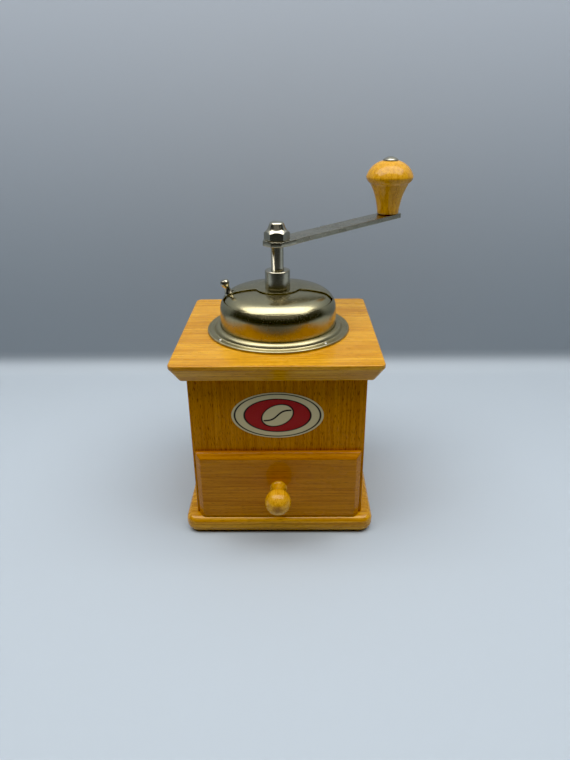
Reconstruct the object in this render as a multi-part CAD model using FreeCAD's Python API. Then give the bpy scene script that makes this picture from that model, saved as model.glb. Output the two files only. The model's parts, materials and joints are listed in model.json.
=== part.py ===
"""Hand crank box coffee grinder: wooden box with drawer, metal hopper with a turning lid, crank and mill.

Millimetres. The origin is the centre of the base board's underside, -Y is the drawer side, +Z is up.
"""
import FreeCAD
import Part

import math
import os

# ---- driving dimensions -------------------------------------------------------------------------

# wooden box
BODY_WIDTH = 107.0
BODY_DEPTH = 106.0
BODY_HEIGHT = 96.3
WALL = 9.0
BASE_SIZE = BODY_WIDTH + 14.2
BASE_THICK = 12.0
BASE_CORNER = 8.0
BASE_ROUND_TOP = 4.0
BASE_ROUND_BOTTOM = 5.5
TOP_SIZE = BODY_WIDTH + 18.0
TOP_THICK = 12.0
TOP_CORNER = 4.0
TOP_EDGE = 2.6
TOP_ARRIS = 0.8
TOP_BEVEL = 5.6
TOP_BELLY = 2.2

# drawer
DRAWER_OPENING_TOP = 43.0
DRAWER_GAP = 0.6
DRAWER_LIFT = 0.4
LIP_THICK = 5.5
LIP_SIDE = 7.0
LIP_RISE = 3.8
LIP_CHAMFER = 3.1
LIP_GAP = 0.1
DRAWER_FRONT_INNER = 8.0
DRAWER_SIDE = 5.0
DRAWER_SIDE_DROP = 4.4
DRAWER_FLOOR = 3.0
DRAWER_FLOOR_RISE = 2.4
DRAWER_GROOVE = 2.0
DRAWER_BACK_GAP = 4.0
KNOB_HEIGHT = BASE_THICK + DRAWER_OPENING_TOP / 2 + 0.8
PULL_BALL_R = 8.0
PULL_NECK_R = 4.3
PULL_FOOT_R = 5.4
PULL_REACH = 22.4
PULL_TENON_R = 3.5
PULL_TENON = 9.0

# front label
LABEL_WIDTH = 56.0
LABEL_HEIGHT = 31.0
LABEL_THICK = 0.25
LABEL_Z = BASE_THICK + (BODY_HEIGHT + DRAWER_OPENING_TOP + LIP_RISE) / 2

# shaft and its bearing
SHAFT_R = 4.0
SHAFT_FIT = 0.05
FLAT_HALF = SHAFT_R - 0.9
COLLAR_R = SHAFT_R + 4.0
COLLAR_HEIGHT = 11.2
COLLAR_ROUND = 1.0
COLLAR_NECK_R = SHAFT_R + 2.0
COLLAR_TAIL_R = SHAFT_R + 1.5
RING_NUT_R = SHAFT_R + 5.5
RING_NUT_THICK = 2.5

# hopper of pressed sheet
SHEET = 0.6
DOME_R = 37.5
DOME_HEIGHT = 27.9
SEAT_R = COLLAR_R + 3.5
SHOULDER_R = 12.0
CROWN_R = 66.0
DOME_LIP_R = DOME_R + 2.7
TOP_HOLE_R = DOME_R - 4.1
RING_R = DOME_R + 8.7
RING_GAP = 0.15
RING_FLAT = 1.4
RING_RIM_R = 0.9
RING_HEIGHT = 4.3
SEAM_Y = -4.5
BULGE_R = RING_NUT_R + 4.8
MOUTH_R = DOME_R - 2.2
FUNNEL_GAP = 0.4

# nails of the flange ring
NAIL_CIRCLE_R = RING_R - 2.92
NAIL_ANGLES = (-145.0, -47.0, 35.0, 133.0)
NAIL_R = 0.65
NAIL_HEAD_R = 1.1
NAIL_HEAD = 0.6
NAIL_LENGTH = 9.0

# lid
LID_GAP = 0.25
LID_HUB_R = BULGE_R - 1.1
LID_START = 169.5
LID_SWEEP = 197.0
LID_EDGE_TILT = 78.0
LID_TRAVEL = 165.0
LID_KNOB_R = DOME_R - 6.3
LID_KNOB_ANGLE = 181.5
LID_KNOB_TILT = 19.0
LID_KNOB_HEIGHT = 9.8
LID_KNOB_FOOT_R = 2.8
LID_KNOB_WAIST_R = 2.0
LID_KNOB_HEAD_R = 3.1
LID_KNOB_TAIL_R = 1.4
NOTCH_GAP = 0.7
LID_FIT = 0.08

# crank
CRANK_CLEAR = 15.6
CRANK_THICK = 3.1
CRANK_WIDTH = SHAFT_R + 10.4
CRANK_HUB_R = SHAFT_R + 4.4
CRANK_HUB_LENGTH = 10.0
CRANK_ANGLE = 42.0
CRANK_RADIUS = 105.0
CRANK_RISE = 1.8
CRANK_END = 8.0
NUT_FLATS = 2 * SHAFT_R + 6.0
NUT_HEX = 5.2
NUT_HEIGHT = 11.0
NUT_TOP_R = SHAFT_R + 0.2
NUT_WALL = 2.0

# crank knob
KNOB_FOOT_R = 7.6
KNOB_NECK_R = 9.45
KNOB_NECK_Z = 11.0
KNOB_FLARE_R = 13.6
KNOB_FLARE_Z = 21.0
KNOB_MAX_R = 16.55
KNOB_MAX_Z = 25.4
KNOB_SHOULDER_R = 14.1
KNOB_SHOULDER_Z = 30.4
KNOB_CROWN_R = 6.0
KNOB_TALL = 35.9
KNOB_GAP = 0.3
KNOB_PIN_R = 3.0
KNOB_FIT = 0.06
RIVET_HEAD_R = 5.3
RIVET_HEAD = 2.6
RIVET_TAIL_R = 4.4
RIVET_TAIL = 1.2
RIVET_EDGE = 0.5
RIVET_GAP = 0.35

# mill under the top board
BURR_SEAT_R = 27.0
BURR_FIT = 0.02
HOUSING_R = BURR_SEAT_R + 3.0
HOUSING_FLANGE = 2 * HOUSING_R + 18.0
HOUSING_FLANGE_THICK = 4.0
HOUSING_FLANGE_CORNER = 9.0
HOUSING_DEPTH = 38.3
CHAMBER_R = BURR_SEAT_R - 2.5
FUNNEL_MOUTH_R = CHAMBER_R - 1.5
RING_BURR_HEIGHT = 20.0
RING_BURR_FOOT_R = BURR_SEAT_R - 6.0
RING_BURR_WAIST_R = BURR_SEAT_R - 7.6
RING_BURR_MOUTH_R = BURR_SEAT_R - 4.4
RING_BURR_WAIST_Z = 10.0
RING_TEETH = 24
CONE_GAP = 0.95
CONE_RISE = 1.8
CONE_HEIGHT = 26.0
CONE_TOP_R = SHAFT_R + 3.5
CONE_TEETH = 10
TOOTH_DEPTH = 1.3
TOOTH_SLANT = 18.0
CROSS_PIN_R = 1.25
CROSS_PIN_DROP = 4.0
LUG_R = 5.5
LUG_X = HOUSING_R + 3.0
LUG_HEIGHT = 10.0
BRIDGE_WIDTH = 14.0
BRIDGE_THICK = 5.0
BOSS_R = 8.0
BOSS_HEIGHT = 3.5
SCREW_R = 2.0
SCREW_HEAD_R = 3.6
SCREW_HEAD = 2.4
WOOD_SCREW_R = 1.7
WOOD_SCREW_LENGTH = 12.0
HOUSING_SCREW_X = HOUSING_FLANGE / 2 - 5.5
ADJUSTER_R = 4.0
ADJUSTER_HEAD_R = 11.0
ADJUSTER_HEAD = 4.0
ADJUSTER_DROP = 1.7
ADJUSTER_NOTCHES = 20
BALL_R = 2.5
BALL_FIT = 0.05
BALL_DROP = 0.6
BALL_CUP = 0.9

# screws under the base board
BASE_SCREW_X = BODY_WIDTH / 2 - WALL / 2
BASE_SCREW_Y = BODY_DEPTH / 2 - 21.0
BASE_SCREW_HEAD_R = 3.8
BASE_SCREW_SINK = 0.6
BASE_SCREW_LENGTH = 26.0

# small clearance of a fixed piece in its hole
SNUG = 0.02

# ---- places that follow from the dimensions -----------------------------------------------------

FRONT_Y = -BODY_DEPTH / 2
BACK_Y = BODY_DEPTH / 2
BODY_TOP = BASE_THICK + BODY_HEIGHT
BOARD_TOP = BODY_TOP + TOP_THICK
INNER_X = BODY_WIDTH / 2 - WALL
OPENING_Z = BASE_THICK + DRAWER_OPENING_TOP
DRAWER_Z = BASE_THICK + DRAWER_LIFT
DRAWER_X = INNER_X - DRAWER_GAP
DRAWER_FRONT_BACK = FRONT_Y + DRAWER_FRONT_INNER
DRAWER_END = BACK_Y - WALL - DRAWER_BACK_GAP
DRAWER_TOP = OPENING_Z - DRAWER_GAP
DRAWER_SIDE_TOP = DRAWER_TOP - DRAWER_SIDE_DROP
FACE_Y = FRONT_Y - LIP_GAP - LIP_THICK
SEAT_Z = BOARD_TOP + DOME_HEIGHT
CROWN_Z = SEAT_Z - CROWN_R
SHOULDER_X = DOME_R - SHOULDER_R
SHOULDER_Z = CROWN_Z + math.sqrt((CROWN_R - SHOULDER_R) ** 2 - (SHOULDER_X - SEAT_R) ** 2)
CROWN_TILT = math.atan2(SHOULDER_X - SEAT_R, SHOULDER_Z - CROWN_Z)
LID_DEPTH = SHEET + LID_GAP
LID_UNDER = SEAT_Z - LID_DEPTH - SHEET
RING_NUT_TOP = LID_UNDER - LID_GAP
HOUSING_BOTTOM = BODY_TOP - HOUSING_DEPTH
RING_BURR_TOP = HOUSING_BOTTOM + RING_BURR_HEIGHT
CONE_BOTTOM = HOUSING_BOTTOM + CONE_RISE
BRIDGE_BOTTOM = HOUSING_BOTTOM - BRIDGE_THICK
BOSS_BOTTOM = BRIDGE_BOTTOM - BOSS_HEIGHT
ADJUSTER_HEAD_TOP = BOSS_BOTTOM - ADJUSTER_DROP
BALL_Z = HOUSING_BOTTOM - BALL_DROP
CRANK_Z = SEAT_Z + COLLAR_HEIGHT + CRANK_CLEAR
CRANK_TOP = CRANK_Z + CRANK_THICK
NUT_TOP = CRANK_TOP + NUT_HEIGHT
KNOB_Z = CRANK_TOP + (CRANK_RADIUS - CRANK_HUB_LENGTH) * math.tan(math.radians(CRANK_RISE))

ORIGIN = FreeCAD.Vector(0, 0, 0)
UP = FreeCAD.Vector(0, 0, 1)
ALONG_Y = FreeCAD.Vector(0, 1, 0)
FAR = 300.0


# ---- building helpers ---------------------------------------------------------------------------

def vec(x, y, z):
    return FreeCAD.Vector(x, y, z)


def block(x0, x1, y0, y1, z0, z1):
    """Box between two corners."""
    return Part.makeBox(x1 - x0, y1 - y0, z1 - z0, vec(x0, y0, z0))


def rod(radius, z0, z1, x=0.0, y=0.0):
    """Upright cylinder from z0 to z1."""
    return Part.makeCylinder(radius, z1 - z0, vec(x, y, z0))


def outline(start, *steps):
    """Closed face in the XZ plane. A step is the next point, or (point on an arc, end of the arc)."""
    edges = []
    here = vec(start[0], 0, start[1])
    for step in steps + (start,):
        if isinstance(step[0], tuple):
            middle = vec(step[0][0], 0, step[0][1])
            there = vec(step[1][0], 0, step[1][1])
            edges.append(Part.Arc(here, middle, there).toShape())
        else:
            there = vec(step[0], 0, step[1])
            if there.distanceToPoint(here) < 1e-6:
                continue
            edges.append(Part.LineSegment(here, there).toShape())
        here = there
    return Part.Face(Part.Wire(edges))


def turned(start, *steps):
    """Solid of revolution about Z of an outline of (radius, height) points."""
    return outline(start, *steps).revolve(ORIGIN, UP, 360)


def domed(radius, z, rise):
    """Step along a spherical cap from its rim, at radius and z, to its top on the axis."""
    sphere_r = (radius ** 2 + rise ** 2) / (2 * abs(rise))
    half = math.asin(radius / sphere_r) / 2
    sink = math.copysign(sphere_r * (1 - math.cos(half)), rise)
    return (sphere_r * math.sin(half), z + rise - sink), (0, z + rise)


def plan(points, z):
    """Flat face at height z through (x, y) points."""
    corners = [vec(x, y, z) for x, y in points]
    return Part.Face(Part.makePolygon(corners + corners[:1]))


def rounded_plate(width, depth, corner, z0, z1):
    """Upright prism with rounded vertical edges."""
    plate = block(-width / 2, width / 2, -depth / 2, depth / 2, z0, z1)
    return plate.makeFillet(corner, [edge for edge in plate.Edges if is_upright(edge)])


def is_upright(edge):
    start, end = edge.Vertexes[0].Point, edge.Vertexes[-1].Point
    return abs(start.x - end.x) < 1e-6 and abs(start.y - end.y) < 1e-6


def edges_at(shape, z):
    """Edges that lie at height z."""
    return [edge for edge in shape.Edges if abs(edge.BoundBox.ZMin - z) < 1e-4
            and abs(edge.BoundBox.ZMax - z) < 1e-4]


def spun(shape, degrees):
    """Copy turned about the Z axis."""
    copy = shape.copy()
    copy.rotate(ORIGIN, UP, degrees)
    return copy


def hexagon(flats, z0, z1):
    """Upright hexagonal prism with a flat facing -Y."""
    corner_r = flats / math.sqrt(3)
    points = [(corner_r * math.cos(math.radians(60 * i)), corner_r * math.sin(math.radians(60 * i)))
              for i in range(6)]
    return plan(points, z0).extrude(vec(0, 0, z1 - z0))


def save(node, shape):
    shape.exportStep("parts/" + node + ".step")


# ---- wooden box ---------------------------------------------------------------------------------

def base_screw_places():
    return [(sx * BASE_SCREW_X, sy * BASE_SCREW_Y) for sx in (-1, 1) for sy in (-1, 1)]


def base_screw(x, y, clearance=0.0):
    """Countersunk wood screw, head down, or its hole when a clearance is given."""
    head_z = BASE_SCREW_SINK - clearance
    cone = BASE_SCREW_HEAD_R - WOOD_SCREW_R
    body = turned((0, head_z), (BASE_SCREW_HEAD_R + clearance, head_z),
                  (WOOD_SCREW_R + clearance, head_z + cone + clearance),
                  (WOOD_SCREW_R + clearance, BASE_SCREW_LENGTH - 3 * WOOD_SCREW_R),
                  (0, BASE_SCREW_LENGTH + clearance))
    if clearance:
        body = body.fuse(rod(BASE_SCREW_HEAD_R + clearance, -1, head_z + clearance))
    else:
        slot = WOOD_SCREW_R / 3
        body = body.cut(block(-FAR, FAR, -slot, slot, head_z, head_z + slot * 2))
    body.translate(vec(x, y, 0))
    return body


def drilled_for_base_screws(piece):
    for x, y in base_screw_places():
        piece = piece.cut(base_screw(x, y, SNUG))
    return piece


def base_board():
    board = rounded_plate(BASE_SIZE, BASE_SIZE, BASE_CORNER, 0, BASE_THICK)
    board = board.makeFillet(BASE_ROUND_TOP, edges_at(board, BASE_THICK))
    board = board.makeFillet(BASE_ROUND_BOTTOM, edges_at(board, 0))
    return drilled_for_base_screws(board)


def side_board(side):
    """Side wall between the front and back panels; side is -1 for left, 1 for right."""
    inner, outer = sorted((side * INNER_X, side * BODY_WIDTH / 2))
    wall = block(inner, outer, FRONT_Y + WALL, BACK_Y - WALL, BASE_THICK, BODY_TOP)
    return drilled_for_base_screws(wall)


def back_panel():
    return block(-BODY_WIDTH / 2, BODY_WIDTH / 2, BACK_Y - WALL, BACK_Y, BASE_THICK, BODY_TOP)


def front_panel():
    panel = block(-BODY_WIDTH / 2, BODY_WIDTH / 2, FRONT_Y, FRONT_Y + WALL, BASE_THICK, BODY_TOP)
    return panel.cut(block(-INNER_X, INNER_X, FRONT_Y - 1, FRONT_Y + WALL + 1, BASE_THICK - 1, OPENING_Z))


def plate_wire(half, corner, z):
    """Rounded square wire at height z."""
    plate = rounded_plate(2 * half, 2 * half, corner, z, z + 1)
    bottom = min(plate.Faces, key=lambda face: face.CenterOfMass.z)
    return bottom.OuterWire


def top_board():
    """Board with a crisp upper edge, sides that slope inward and a rounded lower edge."""
    edge_z = BOARD_TOP - TOP_EDGE
    upper = rounded_plate(TOP_SIZE, TOP_SIZE, TOP_CORNER, edge_z, BOARD_TOP)
    upper = upper.makeFillet(TOP_ARRIS, edges_at(upper, BOARD_TOP))
    under_half = TOP_SIZE / 2 - TOP_BEVEL
    lower = Part.makeLoft([plate_wire(under_half, TOP_CORNER / 2, BODY_TOP),
                           plate_wire(TOP_SIZE / 2, TOP_CORNER, edge_z)], True, True)
    lower = lower.makeFillet(TOP_BELLY, edges_at(lower, BODY_TOP))
    board = upper.fuse(lower).removeSplitter()
    board = board.cut(rod(TOP_HOLE_R, BODY_TOP - 1, BOARD_TOP + 1))
    for place in nail_places():
        board = board.cut(nail(place, SNUG))
    for x, y in housing_screw_places():
        board = board.cut(housing_screw(x, y, SNUG))
    return board


def front_label():
    """Thin oval transfer on the front panel."""
    oval = Part.Ellipse(ORIGIN, LABEL_WIDTH / 2, LABEL_HEIGHT / 2)
    label = Part.Face(Part.Wire(oval.toShape())).extrude(vec(0, 0, LABEL_THICK))
    label.rotate(ORIGIN, vec(1, 0, 0), 90)
    label.translate(vec(0, FRONT_Y, LABEL_Z))
    return label


# ---- drawer -------------------------------------------------------------------------------------

def drawer_floor_box():
    """Floor board, let into grooves of the front and sides."""
    reach = DRAWER_X - DRAWER_SIDE + DRAWER_GROOVE
    z0 = DRAWER_Z + DRAWER_FLOOR_RISE
    return block(-reach, reach, DRAWER_FRONT_BACK - DRAWER_GROOVE, DRAWER_END - DRAWER_SIDE,
                 z0, z0 + DRAWER_FLOOR)


def drawer_front():
    """Front board: a lip that covers the opening's edges, and a thicker middle that fits the opening."""
    half = INNER_X + LIP_SIDE
    top = OPENING_Z + LIP_RISE
    lip = block(-half, half, FACE_Y, FRONT_Y - LIP_GAP, DRAWER_Z, top)
    front_edges = [edge for edge in lip.Edges
                   if abs(edge.BoundBox.YMax - FACE_Y) < 1e-4 and edge.BoundBox.ZMax > DRAWER_Z + 1]
    lip = lip.makeChamfer(LIP_CHAMFER, front_edges)
    middle = block(-DRAWER_X, DRAWER_X, FRONT_Y - LIP_GAP, DRAWER_FRONT_BACK, DRAWER_Z, DRAWER_TOP)
    front = lip.fuse(middle).removeSplitter()
    front = front.cut(drawer_floor_box())
    tenon_hole = Part.makeCylinder(PULL_TENON_R + SNUG, PULL_TENON + 1, vec(0, FACE_Y - 1, KNOB_HEIGHT), ALONG_Y)
    return front.cut(tenon_hole)


def drawer_side(side):
    inner, outer = sorted((side * (DRAWER_X - DRAWER_SIDE), side * DRAWER_X))
    board = block(inner, outer, DRAWER_FRONT_BACK, DRAWER_END, DRAWER_Z, DRAWER_SIDE_TOP)
    return board.cut(drawer_floor_box())


def drawer_back():
    half = DRAWER_X - DRAWER_SIDE
    return block(-half, half, DRAWER_END - DRAWER_SIDE, DRAWER_END, DRAWER_Z, DRAWER_SIDE_TOP)


def drawer_knob():
    """Turned ball on a waisted neck, with a tenon into the front board. Built upright, then laid down."""
    ball_z = PULL_REACH - PULL_BALL_R
    foot_round = PULL_FOOT_R - PULL_NECK_R
    meet = math.asin(PULL_NECK_R / PULL_BALL_R)
    meet_z = ball_z - PULL_BALL_R * math.cos(meet)
    knob = turned((0, -PULL_TENON + 1), (PULL_TENON_R, -PULL_TENON + 1), (PULL_TENON_R, 0), (PULL_FOOT_R, 0),
                  ((PULL_NECK_R + 0.3 * foot_round, 0.7 * foot_round), (PULL_NECK_R, foot_round * 2)),
                  (PULL_NECK_R, meet_z),
                  ((PULL_BALL_R, ball_z), (0, PULL_REACH)))
    knob.rotate(ORIGIN, vec(1, 0, 0), 90)
    knob.translate(vec(0, FACE_Y, KNOB_HEIGHT))
    return knob


# ---- hopper -------------------------------------------------------------------------------------

def crown_point(depth, tilt):
    """Point of the dome's crown line, set in from the outer face by depth, at a tilt from upright."""
    radius = CROWN_R - depth
    return SEAT_R + radius * math.sin(tilt), CROWN_Z + radius * math.cos(tilt)


def shoulder_point(depth, tilt):
    radius = SHOULDER_R - depth
    return SHOULDER_X + radius * math.sin(tilt), SHOULDER_Z + radius * math.cos(tilt)


def shell_steps(depth, end_tilt):
    """Steps from the flat seat outwards along crown and shoulder to end_tilt."""
    middle = (CROWN_TILT + end_tilt) / 2
    return [(SEAT_R, SEAT_Z - depth),
            (crown_point(depth, CROWN_TILT / 2), crown_point(depth, CROWN_TILT)),
            (shoulder_point(depth, middle), shoulder_point(depth, end_tilt))]


def shell_steps_back(depth, end_tilt, inner_r):
    """The same line from end_tilt back inwards to inner_r."""
    middle = (CROWN_TILT + end_tilt) / 2
    return [(shoulder_point(depth, middle), shoulder_point(depth, CROWN_TILT)),
            (crown_point(depth, CROWN_TILT / 2), (SEAT_R, SEAT_Z - depth)),
            (inner_r, SEAT_Z - depth)]


def placed_on_lid(shape, angle):
    """Move a shape built upright at the origin to the lid knob's place, leaning outward."""
    foot = shoulder_point(LID_DEPTH, math.asin((LID_KNOB_R - SHOULDER_X) / (SHOULDER_R - LID_DEPTH)))
    shape.rotate(ORIGIN, ALONG_Y, LID_KNOB_TILT)
    shape.translate(vec(foot[0], 0, foot[1]))
    return spun(shape, angle)


def under_lid():
    """Solid below the lid's outer face."""
    quarter = math.pi / 2
    return turned((0, SEAT_Z - LID_DEPTH), *shell_steps(LID_DEPTH, quarter),
                  (DOME_R - LID_DEPTH, BOARD_TOP), (0, BOARD_TOP))


def hopper_dome():
    """Pressed dome with a foot lip and the half-round mouth that the lid closes from beneath."""
    quarter = math.pi / 2
    hole_r = COLLAR_NECK_R + SNUG
    skin = turned((hole_r, SEAT_Z), *shell_steps(0, quarter),
                  (DOME_R, BOARD_TOP + SHEET), (DOME_LIP_R, BOARD_TOP + SHEET), (DOME_LIP_R, BOARD_TOP),
                  (DOME_R - SHEET, BOARD_TOP), (DOME_R - SHEET, SHOULDER_Z),
                  *shell_steps_back(SHEET, quarter, hole_r))
    mouth = rod(MOUTH_R, SHOULDER_Z, SEAT_Z + 1).common(block(-FAR, FAR, -FAR, SEAM_Y, 0, FAR))
    mouth = mouth.cut(rod(BULGE_R, 0, FAR))
    for angle in (LID_KNOB_ANGLE, LID_KNOB_ANGLE + LID_TRAVEL):
        notch = rod(LID_KNOB_FOOT_R + NOTCH_GAP, -1, LID_KNOB_HEIGHT)
        mouth = mouth.fuse(placed_on_lid(notch, angle))
    return skin.cut(mouth)


def flange_ring():
    """Ring with a rolled rim and a raised bead, nailed over the dome's foot lip."""
    bead_r = DOME_R + RING_GAP
    z = BOARD_TOP
    rim_x = RING_R - RING_RIM_R
    half = RING_RIM_R * math.sqrt(0.5)
    top = z + RING_HEIGHT
    flat = z + RING_FLAT
    ring = turned((RING_R, z), (RING_R, z + RING_RIM_R),
                  ((rim_x + half, z + RING_RIM_R + half), (rim_x, z + 2 * RING_RIM_R)),
                  (rim_x - RING_RIM_R, flat), (bead_r + 4.5, flat),
                  ((bead_r + 4.0, flat + 0.25), (bead_r + 3.7, flat + 0.8)),
                  ((bead_r + 2.7, top - 0.7), (bead_r + 0.6, top)),
                  (bead_r, top), (bead_r, top - SHEET),
                  (bead_r + 0.5, top - SHEET),
                  ((bead_r + 2.1, top - SHEET - 0.6), (bead_r + 2.9, z + 1.2)),
                  (bead_r + 3.4, z + RING_FLAT - SHEET), (rim_x - RING_RIM_R, z + RING_FLAT - SHEET),
                  (rim_x - RING_RIM_R, z))
    for place in nail_places():
        ring = ring.cut(nail(place, SNUG))
    return ring


def nail_places():
    return [(NAIL_CIRCLE_R * math.cos(math.radians(a)), NAIL_CIRCLE_R * math.sin(math.radians(a)))
            for a in NAIL_ANGLES]


def nail(place, clearance=0.0):
    """Round-headed nail through the flange ring into the top board, or its hole."""
    seat = BOARD_TOP + RING_FLAT
    radius = NAIL_R + clearance
    bottom = seat - NAIL_LENGTH - clearance
    if clearance:
        body = rod(radius, bottom, seat + 1)
    else:
        body = turned((0, bottom), (radius, bottom + 2 * radius), (radius, seat), (NAIL_HEAD_R, seat),
                      domed(NAIL_HEAD_R, seat, NAIL_HEAD))
    body.translate(vec(place[0], place[1], 0))
    return body


def flange_nails():
    return Part.makeCompound([nail(place) for place in nail_places()])


def bean_funnel():
    """Sheet cone that hangs in the top board's hole, with a rim inside the dome's foot."""
    rim_r = DOME_R - SHEET - FUNNEL_GAP
    neck_r = TOP_HOLE_R - FUNNEL_GAP
    low = BODY_TOP + FUNNEL_GAP
    return turned((rim_r, BOARD_TOP), (rim_r, BOARD_TOP + SHEET), (neck_r - SHEET, BOARD_TOP + SHEET),
                  (FUNNEL_MOUTH_R, low), (FUNNEL_MOUTH_R + SHEET, low), (neck_r, BOARD_TOP))


def hopper_lid():
    """Half shell that turns about the bearing's neck just under the dome."""
    end = math.radians(LID_EDGE_TILT)
    hole_r = COLLAR_NECK_R + LID_FIT
    outer = LID_DEPTH
    inner = LID_DEPTH + SHEET
    shell = turned((hole_r, SEAT_Z - outer), *shell_steps(outer, end), shoulder_point(inner, end),
                   *shell_steps_back(inner, end, hole_r))
    wedge = outline((0, 0), (FAR, 0), (FAR, FAR), (0, FAR)).revolve(ORIGIN, UP, LID_SWEEP)
    lid = shell.common(spun(wedge, LID_START).fuse(rod(LID_HUB_R, 0, FAR)))
    return lid.cut(placed_on_lid(rod(LID_KNOB_TAIL_R + SNUG, -FAR / 10, 2), LID_KNOB_ANGLE))


def lid_knob():
    """Small waisted knob riveted through the lid; its foot is shaped to the lid's curve."""
    foot = LID_KNOB_HEIGHT / 8
    head = LID_KNOB_HEIGHT * 0.72
    knob = turned((0, -foot), (LID_KNOB_FOOT_R, -foot), (LID_KNOB_FOOT_R, foot * 0.7),
                  ((LID_KNOB_WAIST_R + 0.1, foot * 2.4), (LID_KNOB_WAIST_R, foot * 3.8)),
                  ((LID_KNOB_WAIST_R + 0.4, head - 0.9), (LID_KNOB_HEAD_R, head)),
                  ((LID_KNOB_HEAD_R * 0.95, head + 1.0), (LID_KNOB_HEAD_R * 0.72, LID_KNOB_HEIGHT - 0.3)),
                  (0, LID_KNOB_HEIGHT))
    low = -2 * SHEET - LID_KNOB_TAIL_R / 2
    tail = rod(LID_KNOB_TAIL_R, low, foot).fuse(rod(LID_KNOB_TAIL_R * 1.5, low - SHEET, low))
    knob = placed_on_lid(knob, LID_KNOB_ANGLE).cut(under_lid())
    return knob.fuse(placed_on_lid(tail, LID_KNOB_ANGLE)).removeSplitter()


# ---- bearing, shaft and crank -------------------------------------------------------------------

def upper_bearing():
    """Turned collar that stands on the dome; its neck carries the lid and its tail takes the ring nut."""
    bore = SHAFT_R + SHAFT_FIT
    top = SEAT_Z + COLLAR_HEIGHT
    half = COLLAR_ROUND * (1 - math.sqrt(0.5))
    tail = RING_NUT_TOP - RING_NUT_THICK
    return turned((bore, tail), (COLLAR_TAIL_R, tail), (COLLAR_TAIL_R, RING_NUT_TOP),
                  (COLLAR_NECK_R, RING_NUT_TOP), (COLLAR_NECK_R, SEAT_Z), (COLLAR_R, SEAT_Z),
                  (COLLAR_R, top - COLLAR_ROUND),
                  ((COLLAR_R - half, top - half), (COLLAR_R - COLLAR_ROUND, top)),
                  (bore + COLLAR_ROUND / 2, top), (bore, top - COLLAR_ROUND / 2))


def bearing_nut():
    """Round nut under the lid, with two slots for its key."""
    bottom = RING_NUT_TOP - RING_NUT_THICK
    nut = rod(RING_NUT_R, bottom, RING_NUT_TOP).cut(rod(COLLAR_TAIL_R + SNUG, bottom - 1, RING_NUT_TOP + 1))
    slot = RING_NUT_R / 10
    return nut.cut(block(-FAR, FAR, -slot, slot, bottom - 1, bottom + RING_NUT_THICK / 2))


def flatted_rod(radius, flat_half, z0, z1):
    """Rod with two parallel flats."""
    return rod(radius, z0, z1).common(block(-flat_half, flat_half, -FAR, FAR, z0 - 1, z1 + 1))


def drive_shaft():
    bottom = BALL_Z + BALL_CUP
    shaft = rod(SHAFT_R, bottom, CRANK_Z)
    shaft = shaft.fuse(spun(flatted_rod(SHAFT_R, FLAT_HALF, CRANK_Z, NUT_TOP - NUT_WALL - 1), CRANK_ANGLE))
    shaft = shaft.cut(Part.makeSphere(BALL_R + BALL_FIT, vec(0, 0, BALL_Z)))
    return shaft.cut(cross_pin_rod(SNUG))


def crank_arm():
    """Flat bar with a clipped hub end; it rises gently from the hub to the knob."""
    hub = CRANK_HUB_R
    half = CRANK_WIDTH / 2
    tip = CRANK_RADIUS + CRANK_END
    climb = (tip - CRANK_HUB_LENGTH) * math.tan(math.radians(CRANK_RISE))
    clip = hub * 0.45
    corner = half * 0.25
    shape = plan([(-hub, -clip), (-clip, -hub), (clip, -hub), (CRANK_HUB_LENGTH, -half), (tip - corner, -half),
                  (tip, -half + corner), (tip, half - corner), (tip - corner, half),
                  (CRANK_HUB_LENGTH, half), (clip, hub), (-clip, hub), (-hub, clip)], CRANK_Z - 1)
    bar = shape.extrude(vec(0, 0, CRANK_THICK + climb + 2))
    side = outline((-FAR, CRANK_Z), (CRANK_HUB_LENGTH, CRANK_Z), (tip + 1, CRANK_Z + climb),
                   (tip + 1, CRANK_TOP + climb), (CRANK_HUB_LENGTH, CRANK_TOP), (-FAR, CRANK_TOP))
    side.translate(vec(0, -FAR, 0))
    bar = bar.common(side.extrude(vec(0, 2 * FAR, 0)))
    bar = bar.cut(flatted_rod(SHAFT_R + SNUG, FLAT_HALF + SNUG, CRANK_Z - 1, CRANK_TOP + 1))
    bar = bar.cut(rod(KNOB_PIN_R + SNUG, CRANK_Z - 1, CRANK_TOP + climb + 1, CRANK_RADIUS))
    return spun(bar, CRANK_ANGLE)


def cap_nut():
    """Hexagon cap nut: bevelled hexagon, rounded shoulder and a tapered blunt cap."""
    hex_top = CRANK_TOP + NUT_HEX
    corner_r = NUT_FLATS / math.sqrt(3)
    inner_r = NUT_FLATS / 2
    bevel = turned((0, CRANK_TOP), (inner_r, CRANK_TOP), (corner_r, CRANK_TOP + 0.7),
                   (corner_r, hex_top - 0.7), (inner_r - 0.5, hex_top + 0.7), (0, hex_top + 0.7))
    nut = hexagon(NUT_FLATS, CRANK_TOP, hex_top + 0.7).common(bevel)
    shoulder = hex_top + 0.7
    cap = turned((0, CRANK_TOP), (inner_r - 0.5, CRANK_TOP), (inner_r - 0.5, shoulder),
                 ((inner_r - 1.1, shoulder + 0.8), (inner_r - 1.5, shoulder + 1.6)),
                 (NUT_TOP_R + 0.3, NUT_TOP - 1.0),
                 ((NUT_TOP_R - 0.3, NUT_TOP - 0.3), (NUT_TOP_R - 1.1, NUT_TOP)), (0, NUT_TOP))
    nut = nut.fuse(cap).removeSplitter()
    return nut.cut(rod(SHAFT_R + SNUG, CRANK_TOP - 1, NUT_TOP - NUT_WALL))


def knob_place(shape):
    shape.translate(vec(CRANK_RADIUS, 0, KNOB_Z))
    return spun(shape, CRANK_ANGLE)


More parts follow.
